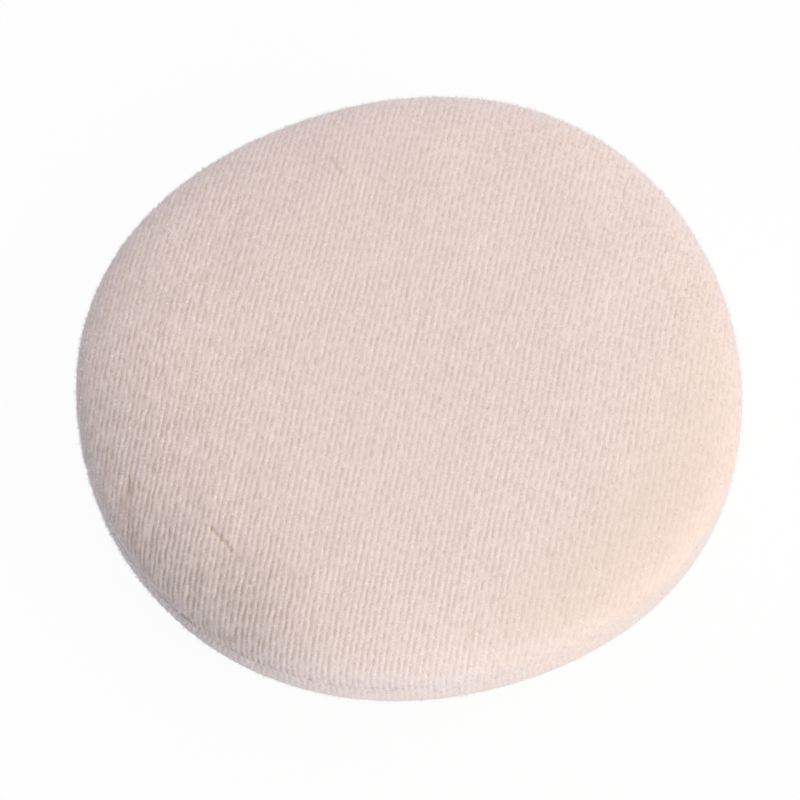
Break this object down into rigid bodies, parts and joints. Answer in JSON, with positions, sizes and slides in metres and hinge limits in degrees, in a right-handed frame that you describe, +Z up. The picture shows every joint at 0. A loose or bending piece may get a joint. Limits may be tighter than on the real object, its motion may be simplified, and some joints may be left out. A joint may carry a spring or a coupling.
{
  "type": "powder puff",
  "caption": "Round plump powder puff: two ribbed knit velour covers sewn edge to edge over a crowned foam disc, for patting on face powder.",
  "frame": {"origin": "middle of the resting face of the back cover, under the middle of the pad's width and depth", "axes": "+Z up through the crown of the front cover; +X to the viewer's right and +Y away from the viewer in the picture"},
  "size_m": [0.0798, 0.0796, 0.02],
  "materials": {
    "front_velour": "matte ribbed knit velour, pinkish beige",
    "back_velour": "matte ribbed knit velour, pinkish beige",
    "foam": "open-cell polyurethane sponge, cream",
    "thread": "spun polyester sewing thread, matched to the cloth"
  },
  "bodies": {
    "root": {"front_cover": "front_velour", "back_cover": "back_velour", "foam_core": "foam", "seam_needle_thread": "thread", "seam_bobbin_thread": "thread", "closing_thread": "thread"}
  },
  "joints": []
}
